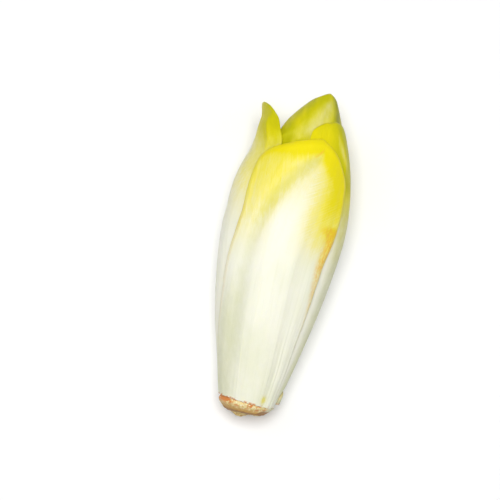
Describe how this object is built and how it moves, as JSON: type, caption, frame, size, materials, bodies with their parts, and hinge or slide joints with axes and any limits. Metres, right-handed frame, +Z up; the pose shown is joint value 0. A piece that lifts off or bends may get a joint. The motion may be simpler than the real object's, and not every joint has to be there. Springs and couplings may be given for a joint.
{
  "type": "belgian endive",
  "caption": "Closed head of Belgian endive lying on its side: pale overlapping leaves with yellow tips round a tapering stem, trimmed flat at the root.",
  "frame": {"origin": "on the table, at the middle of the head's bounding box", "axes": "+Z up from the table, +Y along the head from the cut root to the leaf tips, +X to the head's right seen from above"},
  "size_m": [0.0566, 0.1508, 0.0564],
  "materials": {
    "outer_leaf": "waxy satin leaf, ivory with yellow margins",
    "crown_leaf": "waxy satin leaf, yellow-green",
    "inner_leaf": "waxy satin leaf, pale below and yellow at the tip",
    "stem": "cut plant stem, cream with browned scars"
  },
  "bodies": {
    "root": {"front_leaf": "outer_leaf", "underside_leaf": "outer_leaf", "left_leaf": "outer_leaf", "right_leaf": "outer_leaf", "lower_leaf": "outer_leaf", "crown_leaf": "crown_leaf", "inner_leaf_01": "inner_leaf", "inner_leaf_02": "inner_leaf", "inner_leaf_03": "inner_leaf", "inner_leaf_04": "inner_leaf", "inner_leaf_05": "inner_leaf", "inner_leaf_06": "inner_leaf", "inner_leaf_07": "inner_leaf", "inner_leaf_08": "inner_leaf", "inner_leaf_09": "inner_leaf", "heart_bud": "inner_leaf", "trimmed_leaf_stub": "stem", "stem": "stem"}
  },
  "joints": []
}
